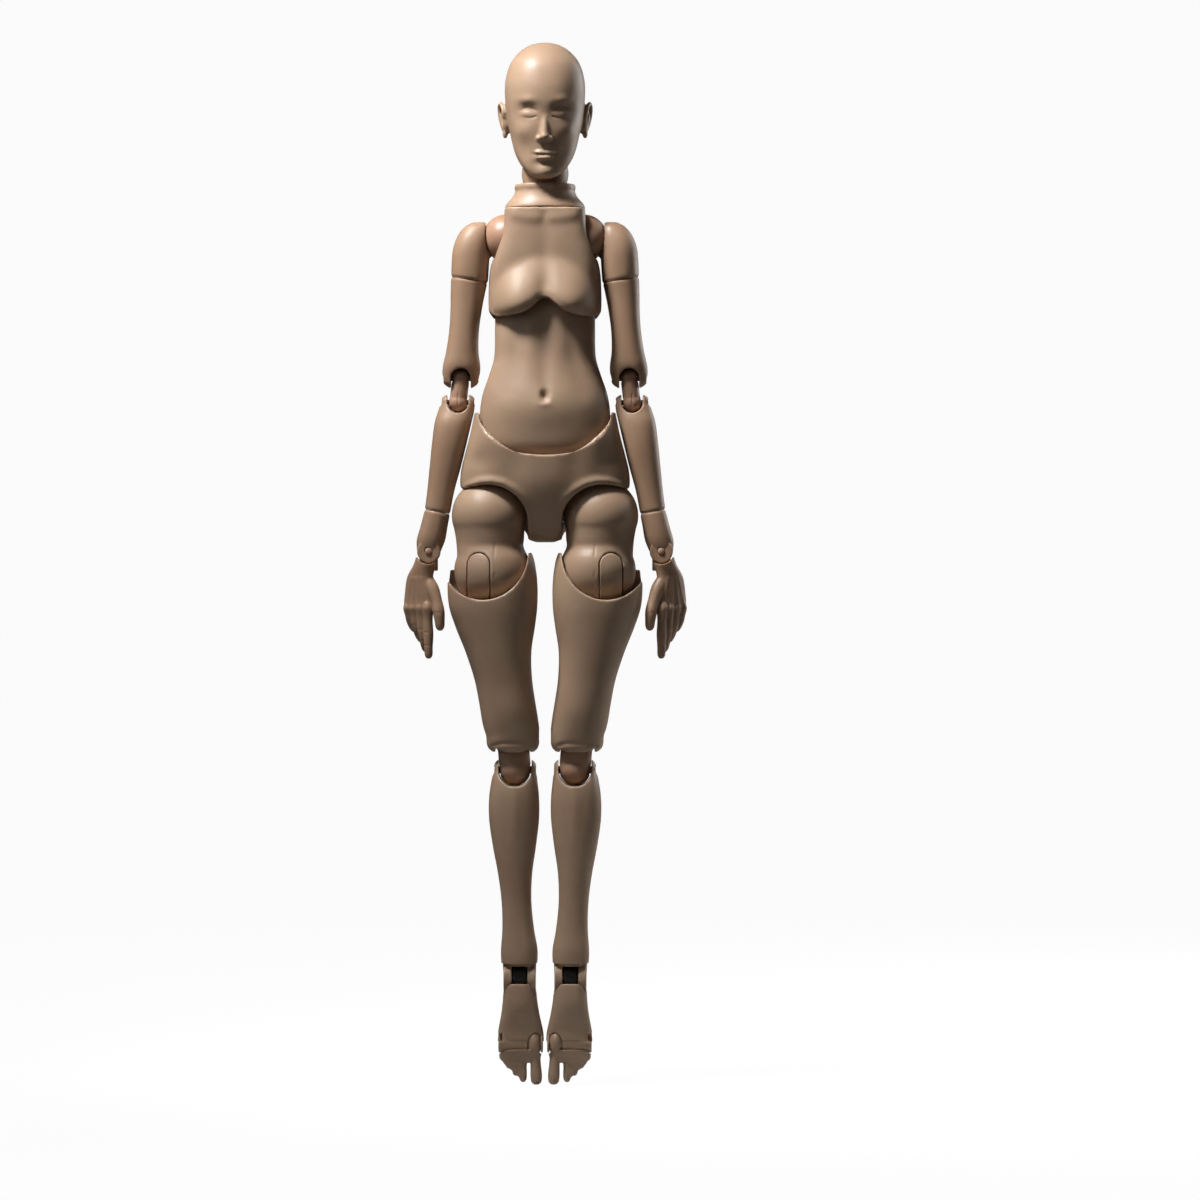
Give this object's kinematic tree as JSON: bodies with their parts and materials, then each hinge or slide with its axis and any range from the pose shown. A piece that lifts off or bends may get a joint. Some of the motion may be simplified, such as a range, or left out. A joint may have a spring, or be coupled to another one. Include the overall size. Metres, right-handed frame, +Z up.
{
  "type": "action figure body",
  "caption": "Bald, unclothed articulated doll body in tan plastic, with ball, swivel and double-hinge joints at neck, trunk, arms and legs, hanging straight with pointed feet.",
  "frame": {"origin": "middle of the waist, on the figure's middle plane, level with the belly above the navel", "axes": "+Z up to the head, -Y the way the figure faces, +X to its left"},
  "size_m": [0.0812, 0.0275, 0.2996],
  "materials": {
    "skin": "satin moulded tan",
    "warm_skin": "satin moulded tan, slightly pinker",
    "inner": "plain moulded plastic",
    "dark_peg": "dark grey moulded plastic"
  },
  "bodies": {
    "abdomen": {"abdomen": "skin"},
    "spine": {"spine_link": "inner"},
    "chest": {"chest": "skin"},
    "collar": {"collar": "skin"},
    "neck": {"neck": "skin"},
    "head_ball": {"head_ball": "warm_skin"},
    "head": {"head": "skin"},
    "pelvis": {"pelvis": "skin", "pelvis_link": "inner"},
    "left_shoulder": {"left_clavicle_ball": "warm_skin"},
    "left_deltoid": {"left_deltoid": "skin"},
    "left_upper_arm": {"left_upper_arm": "skin", "left_elbow_pin_upper": "inner"},
    "left_elbow": {"left_elbow_link": "warm_skin"},
    "left_forearm": {"left_forearm": "skin", "left_elbow_pin_lower": "inner"},
    "left_wrist": {"left_wrist_cuff": "skin", "left_wrist_pin": "warm_skin"},
    "left_hand": {"left_hand": "skin"},
    "left_hip": {"left_hip_ball": "inner"},
    "left_upper_thigh": {"left_upper_thigh": "skin", "left_thigh_plug": "skin"},
    "left_thigh_peg": {"left_thigh_peg": "inner"},
    "left_lower_thigh": {"left_lower_thigh": "skin", "left_knee_pin_upper": "inner"},
    "left_knee": {"left_knee_link": "warm_skin"},
    "left_shin": {"left_shin": "skin", "left_knee_pin_lower": "inner"},
    "left_ankle": {"left_ankle_block": "skin", "left_ankle_pin": "inner"},
    "left_foot": {"left_foot": "skin", "left_ankle_peg": "dark_peg", "left_toe_pin": "inner"},
    "left_toes": {"left_toes": "skin"},
    "right_shoulder": {"right_clavicle_ball": "warm_skin"},
    "right_deltoid": {"right_deltoid": "skin"},
    "right_upper_arm": {"right_upper_arm": "skin", "right_elbow_pin_upper": "inner"},
    "right_elbow": {"right_elbow_link": "warm_skin"},
    "right_forearm": {"right_forearm": "skin", "right_elbow_pin_lower": "inner"},
    "right_wrist": {"right_wrist_cuff": "skin", "right_wrist_pin": "warm_skin"},
    "right_hand": {"right_hand": "skin"},
    "right_hip": {"right_hip_ball": "inner"},
    "right_upper_thigh": {"right_upper_thigh": "skin", "right_thigh_plug": "skin"},
    "right_thigh_peg": {"right_thigh_peg": "inner"},
    "right_lower_thigh": {"right_lower_thigh": "skin", "right_knee_pin_upper": "inner"},
    "right_knee": {"right_knee_link": "warm_skin"},
    "right_shin": {"right_shin": "skin", "right_knee_pin_lower": "inner"},
    "right_ankle": {"right_ankle_block": "skin", "right_ankle_pin": "inner"},
    "right_foot": {"right_foot": "skin", "right_ankle_peg": "dark_peg", "right_toe_pin": "inner"},
    "right_toes": {"right_toes": "skin"}
  },
  "joints": [
    {"name": "chest_bend", "type": "hinge", "parent": "abdomen", "child": "spine", "pos_m": [0, 0.001, 0.01], "axis": [1, 0, 0], "range_deg": [-8, 10]},
    {"name": "chest_turn", "type": "hinge", "parent": "spine", "child": "chest", "pos_m": [0, 0.001, 0.01], "axis": [0, 0, 1], "range_deg": [-5, 5]},
    {"name": "collar_turn", "type": "hinge", "parent": "chest", "child": "collar", "pos_m": [0, 0.0025, 0.0414], "axis": [0, 0, 1], "range_deg": [-25, 25]},
    {"name": "neck_bend", "type": "hinge", "parent": "collar", "child": "neck", "pos_m": [0, 0.0025, 0.0515], "axis": [1, 0, 0], "range_deg": [-8, 5]},
    {"name": "head_turn", "type": "hinge", "parent": "neck", "child": "head_ball", "pos_m": [0, 0.0025, 0.059], "axis": [0, 0, 1], "range_deg": [-70, 70]},
    {"name": "head_nod", "type": "hinge", "parent": "head_ball", "child": "head", "pos_m": [0, 0.0025, 0.059], "axis": [1, 0, 0], "range_deg": [-12, 6]},
    {"name": "waist_bend", "type": "hinge", "parent": "abdomen", "child": "pelvis", "pos_m": [0, 0.0008, -0.024], "axis": [1, 0, 0], "range_deg": [-7, 7]},
    {"name": "left_arm_swing", "type": "hinge", "parent": "chest", "child": "left_shoulder", "pos_m": [0.0112, 0.0018, 0.0328], "axis": [-1, 0, 0], "range_deg": [-45, 150]},
    {"name": "left_arm_lift", "type": "hinge", "parent": "left_shoulder", "child": "left_deltoid", "pos_m": [0.0112, 0.0018, 0.0328], "axis": [0, 1, 0], "range_deg": [-35, 0]},
    {"name": "left_arm_turn", "type": "hinge", "parent": "left_deltoid", "child": "left_upper_arm", "pos_m": [0.0216, 0.0018, 0.0207], "axis": [-0.1513, 0, 0.9885], "range_deg": [-80, 80]},
    {"name": "left_elbow_bend_upper", "type": "hinge", "parent": "left_upper_arm", "child": "left_elbow", "pos_m": [0.0242, 0.0018, -0.0075], "axis": [-1, 0, 0], "range_deg": [0, 65]},
    {"name": "left_elbow_bend_lower", "type": "hinge", "parent": "left_elbow", "child": "left_forearm", "pos_m": [0.025, 0.0018, -0.0145], "axis": [-1, 0, 0], "range_deg": [0, 65]},
    {"name": "left_wrist_turn", "type": "hinge", "parent": "left_forearm", "child": "left_wrist", "pos_m": [0.0309, 0.0018, -0.0458], "axis": [-0.184, 0, 0.9829], "range_deg": [-80, 80]},
    {"name": "left_wrist_bend", "type": "hinge", "parent": "left_wrist", "child": "left_hand", "pos_m": [0.0334, 0.0018, -0.0573], "axis": [0, -1, 0], "range_deg": [-4, 25]},
    {"name": "left_leg_lift", "type": "hinge", "parent": "pelvis", "child": "left_hip", "pos_m": [0.016, 0.0015, -0.047], "axis": [-1, 0, 0], "range_deg": [-15, 75]},
    {"name": "left_leg_spread", "type": "hinge", "parent": "left_hip", "child": "left_upper_thigh", "pos_m": [0.016, 0.0015, -0.047], "axis": [0, -1, 0], "range_deg": [0, 3]},
    {"name": "left_thigh_bend", "type": "hinge", "parent": "left_upper_thigh", "child": "left_thigh_peg", "pos_m": [0.0151, 0.001, -0.0628], "axis": [-1, 0, 0], "range_deg": [-12, 20]},
    {"name": "left_thigh_turn", "type": "hinge", "parent": "left_thigh_peg", "child": "left_lower_thigh", "pos_m": [0.0151, 0.001, -0.0628], "axis": [-0.1215, 0.0105, -0.9925], "range_deg": [-15, 15]},
    {"name": "left_knee_bend_upper", "type": "hinge", "parent": "left_lower_thigh", "child": "left_knee", "pos_m": [0.0093, 0.0015, -0.1102], "axis": [1, 0, 0], "range_deg": [0, 65]},
    {"name": "left_knee_bend_lower", "type": "hinge", "parent": "left_knee", "child": "left_shin", "pos_m": [0.0086, 0.0015, -0.12], "axis": [1, 0, 0], "range_deg": [0, 60]},
    {"name": "left_shin_turn", "type": "hinge", "parent": "left_shin", "child": "left_ankle", "pos_m": [0.0074, 0.0015, -0.1754], "axis": [0, 0, 1], "range_deg": [-30, 30]},
    {"name": "left_ankle_bend", "type": "hinge", "parent": "left_ankle", "child": "left_foot", "pos_m": [0.0073, 0.0015, -0.18], "axis": [-1, 0, 0], "range_deg": [0, 60]},
    {"name": "left_toe_bend", "type": "hinge", "parent": "left_foot", "child": "left_toes", "pos_m": [0.007, 0.00153, -0.19828], "axis": [-1, 0, 0], "range_deg": [0, 35]},
    {"name": "right_arm_swing", "type": "hinge", "parent": "chest", "child": "right_shoulder", "pos_m": [-0.0112, 0.0018, 0.0328], "axis": [-1, 0, 0], "range_deg": [-45, 150]},
    {"name": "right_arm_lift", "type": "hinge", "parent": "right_shoulder", "child": "right_deltoid", "pos_m": [-0.0112, 0.0018, 0.0328], "axis": [0, -1, 0], "range_deg": [-35, 0]},
    {"name": "right_arm_turn", "type": "hinge", "parent": "right_deltoid", "child": "right_upper_arm", "pos_m": [-0.0216, 0.0018, 0.0207], "axis": [-0.1513, 0, -0.9885], "range_deg": [-80, 80]},
    {"name": "right_elbow_bend_upper", "type": "hinge", "parent": "right_upper_arm", "child": "right_elbow", "pos_m": [-0.0242, 0.0018, -0.0075], "axis": [-1, 0, 0], "range_deg": [0, 65]},
    {"name": "right_elbow_bend_lower", "type": "hinge", "parent": "right_elbow", "child": "right_forearm", "pos_m": [-0.025, 0.0018, -0.0145], "axis": [-1, 0, 0], "range_deg": [0, 65]},
    {"name": "right_wrist_turn", "type": "hinge", "parent": "right_forearm", "child": "right_wrist", "pos_m": [-0.0309, 0.0018, -0.0458], "axis": [-0.184, 0, -0.9829], "range_deg": [-80, 80]},
    {"name": "right_wrist_bend", "type": "hinge", "parent": "right_wrist", "child": "right_hand", "pos_m": [-0.0334, 0.0018, -0.0573], "axis": [0, 1, 0], "range_deg": [-4, 25]},
    {"name": "right_leg_lift", "type": "hinge", "parent": "pelvis", "child": "right_hip", "pos_m": [-0.016, 0.0015, -0.047], "axis": [-1, 0, 0], "range_deg": [-15, 75]},
    {"name": "right_leg_spread", "type": "hinge", "parent": "right_hip", "child": "right_upper_thigh", "pos_m": [-0.016, 0.0015, -0.047], "axis": [0, 1, 0], "range_deg": [0, 3]},
    {"name": "right_thigh_bend", "type": "hinge", "parent": "right_upper_thigh", "child": "right_thigh_peg", "pos_m": [-0.0151, 0.001, -0.0628], "axis": [-1, 0, 0], "range_deg": [-12, 20]},
    {"name": "right_thigh_turn", "type": "hinge", "parent": "right_thigh_peg", "child": "right_lower_thigh", "pos_m": [-0.0151, 0.001, -0.0628], "axis": [-0.1215, -0.0105, 0.9925], "range_deg": [-15, 15]},
    {"name": "right_knee_bend_upper", "type": "hinge", "parent": "right_lower_thigh", "child": "right_knee", "pos_m": [-0.0093, 0.0015, -0.1102], "axis": [1, 0, 0], "range_deg": [0, 65]},
    {"name": "right_knee_bend_lower", "type": "hinge", "parent": "right_knee", "child": "right_shin", "pos_m": [-0.0086, 0.0015, -0.12], "axis": [1, 0, 0], "range_deg": [0, 60]},
    {"name": "right_shin_turn", "type": "hinge", "parent": "right_shin", "child": "right_ankle", "pos_m": [-0.0074, 0.0015, -0.1754], "axis": [0, 0, -1], "range_deg": [-30, 30]},
    {"name": "right_ankle_bend", "type": "hinge", "parent": "right_ankle", "child": "right_foot", "pos_m": [-0.0073, 0.0015, -0.18], "axis": [-1, 0, 0], "range_deg": [0, 60]},
    {"name": "right_toe_bend", "type": "hinge", "parent": "right_foot", "child": "right_toes", "pos_m": [-0.007, 0.00153, -0.19828], "axis": [-1, 0, 0], "range_deg": [0, 35]}
  ]
}
